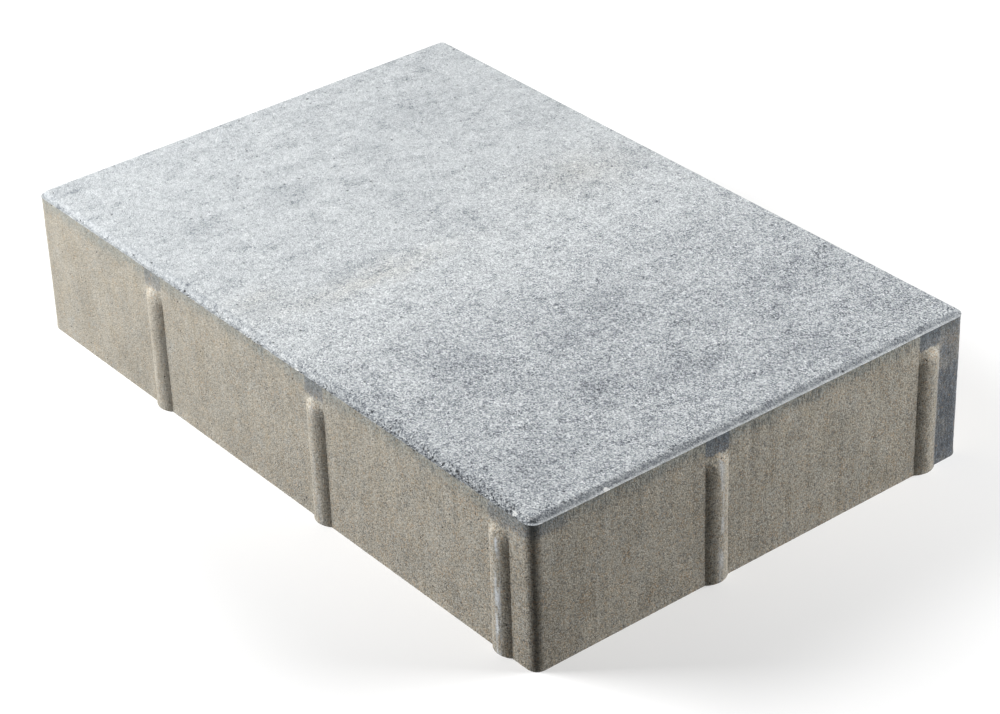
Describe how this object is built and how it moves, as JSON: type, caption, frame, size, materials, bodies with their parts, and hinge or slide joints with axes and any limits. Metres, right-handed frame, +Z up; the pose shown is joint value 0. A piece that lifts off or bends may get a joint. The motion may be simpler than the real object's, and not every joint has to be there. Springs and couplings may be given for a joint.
{
  "type": "concrete paving stone",
  "caption": "Rectangular concrete paving stone with a stepped round arris on its walking face and upright spacer ribs on its sides that keep the joints open.",
  "frame": {"origin": "centre of the bedding face, on the level that the stone lies on", "axes": "+X along the stone's length, +Y across it, +Z up out of the walking face"},
  "size_m": [0.3, 0.201, 0.06],
  "materials": {
    "concrete": "vibro-pressed concrete, grey shaded walking face, open grain"
  },
  "bodies": {
    "root": {"paving_stone": "concrete"}
  },
  "joints": []
}
